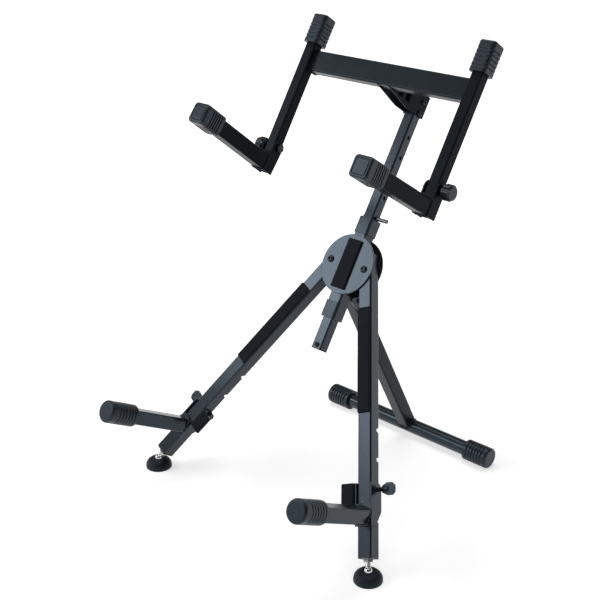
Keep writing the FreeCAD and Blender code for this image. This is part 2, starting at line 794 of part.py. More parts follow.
arm_blank = tube("lower_arm_blank", arm_frame * at(0, 0, -arm_root), S.lower_arm_size,
                 S.lower_arm_size, S.lower_arm_reach + arm_root)
arm_mitre = block("lower_arm_mitre", arm_pivot, (-arm_half * 2, arm_half * 2),
                  (channel_low - arm_half, arm_half), (plate_front - arm_half, plate_front))
pair("lower_arm", cut("lower_arm", arm_blank, [arm_mitre]))
boot_mouth = S.boot_length - S.cap_end
arm_bore = S.lower_arm_size + 2 * S.cap_play
pair("lower_arm_cap", round_cap("lower_boot", arm_frame * at(0, 0, S.lower_arm_reach - boot_mouth),
                                lambda sketch: rounded_square(sketch, arm_bore, arm_bore,
                                                              S.tube_corner),
                                S.boot_length, S.boot_tip))
ear_pad_width = S.ear_reach - S.ear_pad_inset
ear_pad_spot = -channel_inside - S.ear_reach + ear_pad_width / 2
pair("ear_pad", strip("ear_pad", arm_pivot * at(ear_pad_spot, S.ear_above - S.ear_length / 2,
                                                plate_front), ear_pad_width, S.ear_length))
pair("clamp_nut", nut("clamp_nut", arm_pivot * at(-channel_outside, 0, 0, FORWARD, -90),
                      S.screw_diameter, S.run_gap))

# Wing screws: a moulded paddle, flared from its hub, on a screw that passes both flanges.
WING_FLARE, WING_BACK = 0.4, 0.8
wing = arm_pivot * at(channel_outside, 0, 0, FORWARD, 90)
screw_length = channel_outside * 2 + S.nut_height
wing_shank = cylinder("wing_shank", wing * at(0, 0, -screw_length), screw_radius,
                      screw_length + S.wing_stand)
hub_radius = S.wing_hub / 2
wing_boss = cylinder("wing_boss", wing * at(0, 0, S.wing_stand), hub_radius, S.wing_reach / 2)
paddle = body("wing_paddle", wing * at(S.wing_thickness / -2, 0, S.wing_stand))
paddle_face = sketch_on(paddle, "wing_paddle_outline", "YZ_Plane")
half_span = S.wing_span / 2
wing_wide, wing_far = S.wing_reach * WING_FLARE, S.wing_reach * WING_BACK
outline(paddle_face, [(-hub_radius, 0), (hub_radius, 0), (half_span, wing_wide),
                      (half_span, wing_far), (hub_radius, S.wing_reach),
                      (-hub_radius, S.wing_reach), (-half_span, wing_far),
                      (-half_span, wing_wide)])
pad(paddle, paddle_face, S.wing_thickness)
rounded(paddle, S.wing_round, lambda edge: edge.BoundBox.ZMin > S.wing_reach.value / 4)
pair("wing_screw", fuse("wing_screw", [wing_shank, wing_boss, paddle]))

# Mast: it hangs by a locking pin that lies on the upper collar, and a stop bolt near its
# lower end keeps it in the sleeve.
pin_up = collar_top + S.pin_diameter / 2 + S.hub_play
mast_blank = tube("mast_blank", hub * at(0, -S.mast_below, 0, ACROSS, -90), S.mast_size,
                  S.mast_size, S.mast_below + S.mast_above)
pin_radius = S.pin_diameter / 2
mast_cuts = [cylinder(f"pin_hole{index}",
                      hub * at(-S.mast_size, pin_up + S.pin_pitch * index, 0, FORWARD, 90),
                      pin_radius + S.run_gap, S.mast_size * 2)
             for index in range(int(S.pin_holes.value))]
neck_middle = (S.neck_low + S.mast_above) / 2
neck_half = S.neck_bolt_step / 2
neck_spots = [neck_middle - neck_half, neck_middle + neck_half]
mast_cuts += [cylinder(f"neck_bore{index}", hub * at(-S.mast_size, spot, 0, FORWARD, 90),
                       S.neck_bolt / 2, S.mast_size * 2) for index, spot in enumerate(neck_spots)]
stop_spot = -S.mast_below + S.stop_rise
mast_face = S.mast_size / 2
mast_cuts.append(cylinder("stop_bore", hub * at(0, stop_spot, 0), S.stop_diameter / 2,
                          S.mast_size))
node(cut("mast_tube", mast_blank, mast_cuts), "mast_tube")
node(bolt("mast_stop_bolt", hub * at(0, stop_spot, mast_face), S.stop_diameter, S.mast_size / 2),
     "mast_stop_bolt")
pin_body = turned("pin_turned", hub * at(-S.pin_left, pin_up, 0, FORWARD, 90), [
    (0, 0), (pin_radius / 2, 0), (pin_radius, pin_radius / 2),
    (pin_radius, S.pin_left + S.pin_right - pin_radius / 2),
    (pin_radius / 2, S.pin_left + S.pin_right), (0, S.pin_left + S.pin_right)])
node(pin_body, "locking_pin")

# Neck: a folded channel from the mast's head forward to the crossbar, slotted on its right cheek.
neck_outside = mast_face + S.neck_sheet
upright_front = S.frame_out + S.upright_size / 2
crossbar_front = upright_front - S.crossbar_recess
crossbar_back = crossbar_front - S.crossbar_depth
neck_parts = [block("neck_back", hub, (-neck_outside, neck_outside), (S.neck_low, S.neck_high),
                    (-neck_outside, -mast_face))]
neck_cuts = []
for side in (-1, 1):
    cheek = body(f"neck_cheek{side}", hub * at(mast_face * side, 0, 0, FORWARD, 90 * side))
    face = sketch_on(cheek, f"neck_cheek_outline{side}")
    outline(face, [(side * neck_outside, S.neck_low), (side * neck_outside, S.neck_high),
                   (-side * crossbar_back, S.neck_high), (-side * crossbar_back, S.crossbar_low),
                   (-side * crossbar_front, S.crossbar_low), (-side * S.neck_bend, S.neck_low)])
    pad(cheek, face, S.neck_sheet)
    neck_parts.append(cheek)
slot_low = S.neck_low + S.neck_slot_rise
for index in range(2):
    slot_out = crossbar_back - S.neck_slot_step * index - S.neck_slot_gap
    neck_cuts.append(block(f"neck_slot{index}", hub, (0, S.mast_size),
                           (slot_low, slot_low + S.neck_slot_length),
                           (slot_out - S.neck_slot_width, slot_out)))
neck_cuts += [cylinder(f"neck_hole{index}", hub * at(-neck_outside, spot, 0, FORWARD, 90),
                       S.neck_bolt / 2, neck_outside * 2) for index, spot in enumerate(neck_spots)]
node(cut("neck_bracket", fuse("neck", neck_parts), neck_cuts), "neck_bracket")
node(group("neck_bolts", [
    bolt(f"neck_bolt{index}", hub * at(neck_outside, spot, 0, FORWARD, 90), S.neck_bolt,
         neck_outside * 2 + S.nut_height) for index, spot in enumerate(neck_spots)]), "neck_bolts")
node(group("neck_nuts", [
    nut(f"neck_nut{index}", hub * at(-neck_outside, spot, 0, FORWARD, -90), S.neck_bolt)
    for index, spot in enumerate(neck_spots)]), "neck_nuts")

# Upper frame: a crossbar between two uprights, each upright capped at its head.
half_spacing = S.upright_spacing / 2
crossbar_half = half_spacing - S.upright_size / 2
crossbar_middle = S.crossbar_low + S.crossbar_height / 2
node(tube("crossbar", hub * at(-crossbar_half, crossbar_middle, crossbar_front
                               - S.crossbar_depth / 2, FORWARD, 90),
          S.crossbar_depth, S.crossbar_height, crossbar_half * 2), "crossbar")
upright_foot = hub * at(half_spacing, S.upright_low, S.frame_out, ACROSS, -90)
upright_blank = tube("upright_blank", upright_foot, S.upright_size, S.upright_size,
                     S.upright_high - S.upright_low)
upper_pivot = hub * at(half_spacing, S.upper_pivot_up, S.frame_out)
upright_bore = cylinder("upright_bore", upper_pivot * at(-S.upright_size, 0, 0, FORWARD, 90),
                        screw_radius + S.run_gap, S.upright_size * 2)
pair("upright", cut("upright", upright_blank, [upright_bore]))
cap_mouth = S.cap_length - S.cap_end
node(group("upright_caps", [
    square_cap(f"upright_cap{side}",
               hub * at(half_spacing * side, S.upright_high - cap_mouth, S.frame_out,
                        ACROSS, -90), S.upright_size, S.cap_size, S.cap_length)
    for side in (-1, 1)]), "upright_caps")

# Upper arms: each swings up on a clamp screw through the foot of its upright. The right one rests
# with its plate on the front of the upright, and the left one is clamped a little higher.
fork_in = S.upright_size / 2 + S.bracket_play
fork_out = fork_in + S.bracket_sheet
saddle_low = S.bracket_low - S.upper_pivot_up
flange_radius = (fork_out + S.upright_size / 2) / 2
flange_middle = fork_out - flange_radius
arm_cap_mouth = S.arm_cap_length - S.cap_end


def upper_arm(name, pivot):
    """The saddle, nut, tube and cap of an upper arm, made on the right side."""
    parts = [block(name + "_plate", pivot, (-fork_out, fork_out),
                   (saddle_low, S.upper_plate_high - S.upper_pivot_up), (fork_in, fork_out))]
    for side in (-1, 1):
        flange = body(f"{name}_flange{side}", pivot * at(fork_in * side, 0, 0, FORWARD, 90 * side))
        face = sketch_on(flange, f"{name}_flange_outline{side}")
        outline(face, [(-side * fork_out, saddle_low), (-side * fork_out, 0),
                       (side * S.upright_size / 2, 0), (side * S.upright_size / 2, saddle_low)])
        pad(flange, face, S.bracket_sheet)
        parts.append(flange)
        parts.append(cylinder(f"{name}_round{side}",
                              pivot * at(fork_in * side, 0, flange_middle, FORWARD, 90 * side),
                              flange_radius, S.bracket_sheet))
    hole = cylinder(name + "_hole", pivot * at(-fork_out, 0, 0, FORWARD, 90),
                    screw_radius + S.run_gap, fork_out * 2)
    frame = pivot * at(0, S.upper_arm_up - S.upper_pivot_up, fork_out)
    return {
        "upper_bracket": cut(name + "_bracket", fuse(name + "_saddle", parts), [hole]),
        "upper_nut": nut(name + "_nut", pivot * at(-fork_out, 0, 0, FORWARD, -90),
                         S.screw_diameter, S.run_gap),
        "upper_arm": tube(name + "_tube", frame, S.upper_arm_size, S.upper_arm_size,
                          S.upper_arm_reach),
        "upper_arm_cap": square_cap(name + "_cap", frame
                                    * at(0, 0, S.upper_arm_reach - arm_cap_mouth),
                                    S.upper_arm_size, S.arm_cap_size, S.arm_cap_length)}


for name, piece in upper_arm("seated_arm", upper_pivot).items():
    node(piece, "right_" + name)
raised_pivot = upper_pivot * at(axis=ACROSS, angle=-S.left_arm_raise.value)
for name, piece in upper_arm("raised_arm", raised_pivot).items():
    mirrored(piece, "left_" + name)
KNOB_NECK = 0.6
knob_radius = S.knob_diameter / 2
knob_neck = S.wing_hub * KNOB_NECK
knob_tip = S.knob_stand + S.knob_length
knob_edge = S.knob_stand / 2
knob_shank = -fork_out * 2 - S.nut_height
knob_frame = upper_pivot * at(fork_out, 0, 0, FORWARD, 90)
knob_blank = turned("knob_blank", knob_frame, [
    (0, knob_shank), (screw_radius, knob_shank), (screw_radius, S.hub_play),
    (knob_neck, S.hub_play), (knob_radius - knob_edge, S.knob_stand),
    (knob_radius, S.knob_stand + knob_edge), (knob_radius, knob_tip - knob_edge),
    (knob_radius - knob_edge, knob_tip), (0, knob_tip)])
flute_ring = knob_radius + S.flute_diameter / 2 - S.flute_sink
flutes = []
for index in range(int(S.knob_flutes.value)):
    turn = at(angle=360 / S.knob_flutes.value * index)
    flutes.append(cylinder(f"knob_flute{index}", knob_frame * turn * at(flute_ring, 0, S.hub_play),
                           S.flute_diameter / 2, knob_tip))
pair("clamp_knob", cut("clamp_knob", knob_blank, flutes))

# Every feature must be sound before a piece is written.
doc.recompute()
for feature in doc.Objects:
    if "Invalid" in feature.State or "Error" in feature.State:
        raise ValueError(f"{feature.Label} failed: {feature.State}")
for label, feature in nodes.items():
    if feature.Shape.isNull() or not feature.Shape.isValid():
        raise ValueError(f"{label} has no valid shape")

os.makedirs("parts", exist_ok=True)
for label, feature in nodes.items():
    feature.Shape.exportStep(f"parts/{label}.step")
    print(label, len(feature.Shape.Solids), round(feature.Shape.Volume))
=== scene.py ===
import json
import math

import bpy
from mathutils import Matrix, Vector


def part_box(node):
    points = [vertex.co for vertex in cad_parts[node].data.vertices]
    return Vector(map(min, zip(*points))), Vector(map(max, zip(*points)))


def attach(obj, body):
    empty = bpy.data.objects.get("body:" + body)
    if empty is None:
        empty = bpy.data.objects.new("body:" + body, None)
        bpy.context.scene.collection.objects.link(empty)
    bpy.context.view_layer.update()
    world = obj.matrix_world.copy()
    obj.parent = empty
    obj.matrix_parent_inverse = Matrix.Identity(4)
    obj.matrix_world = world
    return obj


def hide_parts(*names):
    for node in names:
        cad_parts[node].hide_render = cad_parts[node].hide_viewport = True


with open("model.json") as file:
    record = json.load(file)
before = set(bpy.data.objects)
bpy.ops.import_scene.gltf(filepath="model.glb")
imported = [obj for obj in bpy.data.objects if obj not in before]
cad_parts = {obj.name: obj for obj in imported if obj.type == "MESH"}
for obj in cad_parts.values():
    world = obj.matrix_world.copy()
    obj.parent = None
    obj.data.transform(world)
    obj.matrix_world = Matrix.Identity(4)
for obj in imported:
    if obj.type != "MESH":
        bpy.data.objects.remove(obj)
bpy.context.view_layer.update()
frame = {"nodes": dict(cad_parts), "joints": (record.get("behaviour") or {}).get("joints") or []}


# Hub: two pressed steel discs hold a welded square sleeve between them, and the whole hub is
# powder-coated in satin black, a finish with a fine orange peel and paler edges, partly thinner
# paint and partly a painted highlight along the edges.
class Value:
    """A shader socket that Python operators can work on; each operator adds one Math node."""

    def __init__(self, finish, socket):
        self.finish, self.socket = finish, socket

    def _with(self, operation, first, second):
        return self.finish.add("ShaderNodeMath", {"operation": operation}, {0: first, 1: second})

    def __add__(self, other):
        return self._with("ADD", self, other)

    def __sub__(self, other):
        return self._with("SUBTRACT", self, other)

    def __rsub__(self, other):
        return self._with("SUBTRACT", other, self)

    def __mul__(self, other):
        return self._with("MULTIPLY", self, other)

    __radd__, __rmul__ = __add__, __mul__


class Finish:
    """A material whose nodes are added one by one, each with its settings and its inputs."""

    def __init__(self, name, constants):
        self.material = bpy.data.materials.new(name)
        self.material.use_nodes = True
        self.tree = self.material.node_tree
        self.shader = self.tree.nodes["Principled BSDF"]
        for socket, number in constants.items():
            self.shader.inputs[socket].default_value = number
        self.place = self.add("ShaderNodeTexCoord", output="Object")

    def add(self, kind, settings=None, inputs=None, output=0):
        made = self.tree.nodes.new(kind)
        for name, setting in (settings or {}).items():
            if name == "stops":
                for stop, (spot, level) in zip(made.color_ramp.elements, setting):
                    stop.position, stop.color = spot, (level, level, level, 1)
            else:
                setattr(made, name, setting)
        for socket, value in (inputs or {}).items():
            self.feed(made.inputs[socket], value)
        return Value(self, made.outputs[output])

    def feed(self, socket, value):
        if isinstance(value, Value):
            self.tree.links.new(value.socket, socket)
        else:
            socket.default_value = value

    def noise(self, scale, detail=2.0, roughness=0.5):
        return self.add("ShaderNodeTexNoise", None, {
            "Vector": self.place, "Scale": scale, "Detail": detail, "Roughness": roughness})

    def ramp(self, value, low, high):
        return self.add("ShaderNodeValToRGB", {"stops": ((low, 0), (high, 1))}, {0: value})

    def mix(self, share, first, second):
        return self.add("ShaderNodeMix", {"data_type": "RGBA"},
                        {0: share, 6: (*first, 1) if isinstance(first, tuple) else first,
                         7: (*second, 1) if isinstance(second, tuple) else second}, output=2)

    def edges(self, radius):
        """A softened normal and a mask that is 1 along the edges that it softens."""
        soft = self.add("ShaderNodeBevel", {"samples": 6}, {"Radius": radius})
        hard = self.add("ShaderNodeNewGeometry", output="Normal")
        along = self.add("ShaderNodeVectorMath", {"operation": "DOT_PRODUCT"},
                         {0: soft, 1: hard}, output="Value")
        return soft, self.ramp(1 - along, 0.004, 0.12)

    def bump(self, height, depth, normal=None):
        inputs = {"Height": height, "Distance": depth, "Strength": 1.0}
        if normal:
            inputs["Normal"] = normal
        return self.add("ShaderNodeBump", None, inputs)

    def surface(self, colour, roughness, normal):
        self.feed(self.shader.inputs["Base Color"], colour)
        self.feed(self.shader.inputs["Roughness"], roughness)
        self.feed(self.shader.inputs["Normal"], normal)


def dress(finish, *nodes):
    """Gives CAD pieces their finish."""
    for name in nodes:
        materials = frame["nodes"][name].data.materials
        materials.clear()
        materials.append(finish.material)


def sides(*names):
    """The right-hand and left-hand pieces of these names."""
    return [f"{side}_{name}" for name in names for side in ("right", "left")]


cool = (0.63, 0.82, 1.0, 1)
peel_scale, peel_depth = 620, 0.00005
paint_cloud, paint_dust, paint_edge = 11, 75, 0.0011


def powder_coat(name, colour, thin_edge_and_highlight_colour, gloss_roughness, shine):
    """Satin powder coat: an orange peel, slow cloudy tone, a little dust and paler edges, partly
    thinner paint and partly a painted highlight.
    """
    coat = Finish(name, {"Specular IOR Level": shine, "Specular Tint": cool})
    peel = coat.noise(peel_scale, 2.5, 0.45)
    cloud = coat.noise(paint_cloud, 3, 0.6)
    dust = coat.ramp(coat.noise(paint_dust, 6, 0.72), 0.56, 0.8)
    soft, edge = coat.edges(paint_edge)
    dusty = tuple(1.5 * part + 0.004 for part in colour)
    shade = tuple(0.8 * part for part in colour)
    tone = coat.mix(cloud, shade, colour)
    tone = coat.mix(dust * 0.35, tone, dusty)
    # Paler edges: partly thinner paint, partly a painted highlight along the edges.
    tone = coat.mix(edge * 0.6, tone, thin_edge_and_highlight_colour)
    rough = gloss_roughness + (cloud - 0.5) * 0.12 + dust * 0.06
    coat.surface(tone, rough, coat.bump(peel, peel_depth, soft))
    return coat


leg_coat = powder_coat("satin_black_leg_coat", (0.015, 0.0182, 0.0222), (0.042, 0.048, 0.055),
                       0.25, 0.5)
# The upper frame's coat is the legs' satin black made darker: painted shade above the strip lamp's
# reflection.
frame_paint_with_painted_shade = powder_coat("satin_black_frame_paint_with_painted_shade", (0.0132, 0.0168, 0.0216), (0.034, 0.039, 0.046),
                         0.29, 0.05)
# The discs' coat is the legs' satin black made lighter: a painted highlight where the strip lamp's
# reflection lies round the hub.
disc_paint_with_painted_highlight = powder_coat("satin_black_disc_paint_with_painted_highlight", (0.019, 0.0228, 0.027), (0.05, 0.056, 0.063),
                        0.25, 0.5)
dress(disc_paint_with_painted_highlight, "front_disc", "rear_disc")
dress(leg_coat, "sleeve_tube", "rear_hinge_bracket")


# Collars: moulded nylon sleeves pressed over both ends of the steel sleeve, each with a lip that
# guides the mast. The moulding is matt black with a fine spark-eroded grain.
flow_scale = 24


def moulding(name, colour, roughness, grain, depth, shine=0.42, edge_radius=0.0009, edge_rub_and_highlight=0.5):
    """Moulded plastic or rubber: an even grain, faint flow clouds and paler edges, partly rubbed
    and partly a painted highlight.
    """
    mould = Finish(name, {"Specular IOR Level": shine, "Specular Tint": cool})
    grains = mould.noise(grain, 3, 0.6)
    flow = mould.noise(flow_scale, 2, 0.5)
    soft, edge = mould.edges(edge_radius)
    tone = mould.mix(flow, tuple(0.78 * part for part in colour), colour)
    # Paler edges: partly rubbed, partly a painted highlight along the edges.
    tone = mould.mix(edge * edge_rub_and_highlight, tone, tuple(1.8 * part + 0.006 for part in colour))
    rough = roughness + (flow - 0.5) * 0.1 + (grains - 0.5) * 0.1
    mould.surface(tone, rough, mould.bump(grains, depth, soft))
    return mould


nylon = moulding("black_nylon", (0.016, 0.0188, 0.0228), 0.36, 1500, 0.00004, 0.55)
dress(nylon, "upper_collar", "lower_collar")


# Bolts and nuts: black-oxide steel with a dull sheen. The button heads turn in their holes and
# the legs swing on the two bolts through the discs.
polish_scale, metal_edge, streak_depth = 90, 0.0005, 0.00001


def plated(name, colour, roughness, streak):
    """Bare or plated metal: fine turned streaks and a little uneven polish."""
    metal = Finish(name, {"Metallic": 1.0})
    lines = metal.noise(streak, 4, 0.65)
    cloud = metal.noise(polish_scale, 3, 0.6)
    soft, edge = metal.edges(metal_edge)
    tone = metal.mix(lines, tuple(0.86 * part for part in colour), colour)
    tone = metal.mix(edge * 0.5, tone, tuple(min(1.0, 1.2 * part + 0.01) for part in colour))
    rough = roughness + (cloud - 0.5) * 0.12 + (lines - 0.5) * 0.06
    metal.surface(tone, rough, metal.bump(lines, streak_depth, soft))
    return metal


black_oxide = plated("black_oxide_steel", (0.034, 0.038, 0.044), 0.4, 1400)
dress(black_oxide, "pivot_bolts", "pivot_nuts", "rear_hinge_bolt", "rear_hinge_nut",
      "mast_stop_bolt", "neck_bolts", "neck_nuts", *sides("clamp_nut", "upper_nut"))


# Foam strips: closed-cell black foam cut to length and stuck on, one on the front disc, one down
# each leg and one on each ear. The cut edges are a little round and the face is barely crowned.
joints = {joint["name"]: joint for joint in frame["joints"]}
across = Vector((1, 0, 0))
mast_up = Vector(joints["mast_lift"]["axis"]).normalized()
hub_axes = Matrix((across, mast_up, across.cross(mast_up))).transposed()


def leg_axes(side):
    """Axes of a front leg: outward across it, up along it, and out to the front."""
    outward = Vector(joints[f"{side}_wing_screw_turn"]["axis"]).normalized()
    front = hub_axes.col[2]
    return Matrix((outward, front.cross(outward), front)).transposed()


def extent(node, axes):
    """A CAD piece's lowest and highest place along three axes."""
    turned = axes.transposed()
    spots = [turned @ corner.co for corner in frame["nodes"][node].data.vertices]
    low = Vector([min(spot[axis] for spot in spots) for axis in range(3)])
    high = Vector([max(spot[axis] for spot in spots) for axis in range(3)])
    return low, high


def start():
    """Deselects everything, so that the next operator acts on the new piece alone."""
    bpy.ops.object.select_all(action="DESELECT")


def settle(piece, name, axes, place, finish, body):
    """Turns a piece made about the origin into place, applies that, and lets it ride."""
    piece.name = piece.data.name = name
    piece.matrix_world = Matrix.Translation(place) @ axes.to_4x4()
    bpy.ops.object.transform_apply(location=True, rotation=True, scale=True)
    piece.data.materials.clear()
    piece.data.materials.append(finish.material)
    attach(piece, body)


cell_scale, pore_scale, cell_depth = 820.0, 2100, 0.00022
shade_scale = 17


def foam_finish():
    """Closed-cell foam: a skin of small cells, matt, with paler cut cells here and there."""
    foam = Finish("black_cell_foam", {"Specular IOR Level": 0.16, "Specular Tint": cool})
    cells = foam.add("ShaderNodeTexVoronoi", None, {"Vector": foam.place, "Scale": cell_scale})
    fine = foam.noise(pore_scale, 2, 0.6)
    cloud = foam.noise(shade_scale, 3, 0.6)
    open_cells = foam.ramp(cells, 0.3, 0.75)
    tone = foam.mix(cloud, (0.0088, 0.0104, 0.0134), (0.0125, 0.0149, 0.0192))
    tone = foam.mix(open_cells * 0.5, tone, (0.021, 0.024, 0.0292))
    foam.surface(tone, 0.86 + (fine - 0.5) * 0.16, foam.bump(cells + fine * 0.5, cell_depth))
    return foam


foam = foam_finish()
foam_edge = 0.0019
foam_crown = 0.0005
foam_cuts = 12
face_wave, face_wave_rate = 0.00018, 95
edge_wave, edge_wave_rate = 0.006, 60


def foam_strip(node, axes, body):
    """A foam strip in the place of its CAD solid, with soft edges and a slightly uneven face."""
    low, high = extent(node, axes)
    size, middle = high - low, axes @ ((low + high) / 2)
    start()
    bpy.ops.mesh.primitive_cube_add(size=1)
    strip = bpy.context.object
    strip.scale = (size.x, size.y, size.z - foam_crown)
    bpy.ops.object.transform_apply(location=False, rotation=False, scale=True)
    bevel = strip.modifiers.new("cut_edge", "BEVEL")
    bevel.width, bevel.segments = foam_edge, 4
    bpy.ops.object.modifier_apply(modifier=bevel.name)
    bpy.ops.object.mode_set(mode="EDIT")
    bpy.ops.mesh.select_all(action="SELECT")
    bpy.ops.mesh.subdivide(number_cuts=foam_cuts)
    bpy.ops.object.mode_set(mode="OBJECT")
    half = size / 2
    for corner in strip.data.vertices:
        spot = corner.co
        over, along = spot.x / half.x, spot.y / half.y
        front = spot.z / size.z + 0.5
        swell = (1 - over ** 4) * (1 - along ** 8)
        wave = face_wave * math.sin(along * half.y * face_wave_rate + 1.3) * math.cos(over * 2.1)
        spot.z += front * (foam_crown * swell + wave * swell) - foam_crown / 2
        sway = 1 + math.sin(along * half.y * edge_wave_rate)
        spot.x *= 1 - edge_wave * sway * (1 - along ** 4)
    bpy.ops.object.shade_smooth_by_angle(angle=math.radians(40))
    settle(strip, node + "_foam", axes, middle, foam, body)
    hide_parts(node)


foam_strip("disc_pad", hub_axes, "hub_set")
for side in ("right", "left"):
    foam_strip(f"{side}_leg_pad", leg_axes(side), f"{side}_leg_set")
    foam_strip(f"{side}_ear_pad", leg_axes(side), f"{side}_lower_arm_set")


# Rear leg: a square tube hinged on the rear disc and welded to a cross bar, whose ends have
# ribbed rubber boots. The weld is a rippled bead all round the tube's foot.
# The rear leg's coat is the legs' satin black made darker: painted shade on the rear leg.
rear_paint_with_painted_shade = powder_coat("satin_black_rear_paint_with_painted_shade", (0.0135, 0.0168, 0.0208), (0.04, 0.046, 0.053),
                        0.3, 0.22)
dress(rear_paint_with_painted_shade, "rear_leg_tube")
dress(leg_coat, "rear_foot_bar")
# The boots' edges are made much paler than the other mouldings': a painted highlight along the rib
# edges.
boot_rubber = moulding("black_boot_rubber", (0.0105, 0.0128, 0.0165), 0.36, 1150, 0.00005, 0.48,
                       0.0018, 0.9)
dress(boot_rubber, "rear_foot_caps")
bead_radius = 0.0024
bead_ripple = 0.0062
bead_swell = 0.3
bead_wander, wander_rate = 0.08, 410
bead_stations, bead_sides, ring_thickness = 180, 10, 0.2
tube_corner = 0.0035


def weld_bead(name, place, axes, width, depth, body, finish, saddle=0.0):
    """A rippled weld bead round a tube's foot, on a flat face or on a round bar's saddle."""
    start()
    bpy.ops.mesh.primitive_torus_add(major_segments=bead_stations, minor_segments=bead_sides,
                                     major_radius=1, minor_radius=ring_thickness)
    bead = bpy.context.object
    corner = tube_corner
    straight = (width - 2 * corner, depth - 2 * corner)
    round_length = math.pi / 2 * corner
    total = 2 * sum(straight) + 4 * round_length
    runs = []
    for turn in range(4):
        runs.append((straight[(turn + 1) % 2], turn, "side"))
        runs.append((round_length, turn, "corner"))

    def on_path(distance):
        """A point of the bead's path and its outward direction."""
        for length, turn, kind in runs:
            if distance <= length:
                break
            distance -= length
        facing = math.pi / 2 * turn
        out = Vector((math.cos(facing), math.sin(facing)))
        left = Vector((-out.y, out.x))
        reach = (width, depth)[turn % 2] / 2
        half_run = straight[(turn + 1) % 2] / 2
        if kind == "side":
            return out * reach + left * (distance - half_run), out
        angle = distance / corner
        outward = out * math.cos(angle) + left * math.sin(angle)
        return out * (reach - corner) + left * half_run + outward * corner, outward

    for spot in bead.data.vertices:
        ring = math.hypot(spot.co.x, spot.co.y)
        share = (math.atan2(spot.co.y, spot.co.x) / math.tau) % 1.0
        distance = share * total
        point, outward = on_path(min(distance, total - 1e-9))
        swell = 1 + bead_swell * math.sin(distance / bead_ripple * math.tau) \
            + bead_wander * math.sin(distance * wander_rate + 0.7)
        across_bead = (ring - 1) / ring_thickness * bead_radius * swell
        above = spot.co.z / ring_thickness * bead_radius * swell
        rise = math.sqrt(saddle ** 2 - point.y ** 2) if saddle else 0.0
        spot.co = (*(point + outward * across_bead), rise + above)
    bpy.ops.object.shade_smooth()
    settle(bead, name, axes, place, finish, body)


hinge_spot = Vector(joints["rear_leg_fold"]["pos_m"])
bar_low, bar_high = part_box("rear_foot_bar")
bar_middle = (bar_low + bar_high) / 2
bar_middle.x = 0
leg_down = (bar_middle - hinge_spot).normalized()
rear_axes = Matrix((across, (-leg_down).cross(across), -leg_down)).transposed()
leg_low, leg_high = extent("rear_leg_tube", rear_axes)
weld_bead("rear_leg_weld", bar_middle, rear_axes, leg_high.x - leg_low.x, leg_high.y - leg_low.y,
          "rear_leg_set", rear_paint_with_painted_shade, saddle=(bar_high.z - bar_low.z) / 2)


# Front legs: square tubes with a row of notches sawn in their backs, each closed at its end by a
# moulded plug.
dress(leg_coat, *sides("leg_tube"))
dress(nylon, *sides("leg_plug"))


# Levelling feet: a chromed stem with a rolled thread screws into the plug, is locked by a nut and
# ends in a ball that a moulded foot snaps onto.
chrome = plated("bright_chrome", (0.74, 0.755, 0.775), 0.14, 700)
foot_rubber = moulding("black_foot_moulding", (0.0125, 0.0145, 0.018), 0.56, 900, 0.00005, 0.34)
dress(chrome, *sides("foot_screw", "foot_nut"))
dress(foot_rubber, *sides("foot_pad"))
stem_radius = 0.005
thread_pitch = 0.0015
thread_depth = 0.0007
thread_root = 0.0003
thread_steps = 24
ball_room = 0.0085


def stem_thread(side):
    """A rolled thread along the bare part of a stem, wound by a screw modifier."""
    axes = leg_axes(side)
    low, high = extent(f"{side}_foot_nut", axes)
    ball = Vector(joints[f"{side}_foot_swivel"]["pos_m"])
    run = low.y - (axes.transposed() @ ball).y - ball_room
    start()
    bpy.ops.mesh.primitive_plane_add(size=1)
    thread = bpy.context.object
    bpy.ops.object.mode_set(mode="EDIT")
    bpy.ops.mesh.select_all(action="SELECT")
    bpy.ops.mesh.delete(type="ONLY_FACE")
    bpy.ops.object.mode_set(mode="OBJECT")
    root, crest = stem_radius - thread_root, stem_radius + thread_depth
    profile = [(root, 0.0), (root, thread_pitch * 0.85),
               (crest, thread_pitch * 0.25), (crest, thread_pitch * 0.6)]
    for corner, (reach, rise) in zip(thread.data.vertices, profile):
        corner.co = (reach, 0, rise)
    wind = thread.modifiers.new("wind", "SCREW")
    wind.axis, wind.screw_offset = "Z", thread_pitch
    wind.iterations = max(2, int(run / thread_pitch) - 1)
    wind.steps = wind.render_steps = thread_steps
    bpy.ops.object.modifier_apply(modifier=wind.name)
    bpy.ops.object.mode_set(mode="EDIT")
    bpy.ops.mesh.select_all(action="SELECT")
    bpy.ops.mesh.normals_make_consistent(inside=False)
    bpy.ops.object.mode_set(mode="OBJECT")
    bpy.ops.object.shade_smooth_by_angle(angle=math.radians(35))
    up = axes.col[1]
    thread_axes = Matrix((axes.col[0], up.cross(axes.col[0]), up)).transposed()
    settle(thread, f"{side}_stem_thread", thread_axes, ball + up * ball_room, chrome,
           f"{side}_foot_screw_set")


for side in ("right", "left"):
    stem_thread(side)


# Lower arms: a folded steel channel hooks on a leg notch by its clamp screw, with a square tube
# welded to its face and a ribbed rubber boot on the tube's end.
dress(leg_coat, *sides("lower_bracket", "lower_arm"))
dress(boot_rubber, *sides("lower_arm_cap"))
hard_plastic = moulding("black_hard_plastic", (0.0125, 0.0138, 0.0165), 0.33, 1300, 0.00004)
dress(hard_plastic, *sides("wing_screw"))
lower_arm_size = 0.03
weld_drop = 0.0505
for side in ("right", "left"):
    arm_back = extent(f"{side}_lower_arm", hub_axes)[0].z
    lift_spot = Vector(joints[f"{side}_lower_arm_lift"]["pos_m"])
    arm_foot = lift_spot - leg_axes(side).col[1] * weld_drop
    arm_foot += hub_axes.col[2] * (arm_back - hub_axes.col[2].dot(arm_foot))
    weld_bead(f"{side}_lower_arm_weld", arm_foot, hub_axes, lower_arm_size, lower_arm_size,
              f"{side}_lower_arm_set", leg_coat)


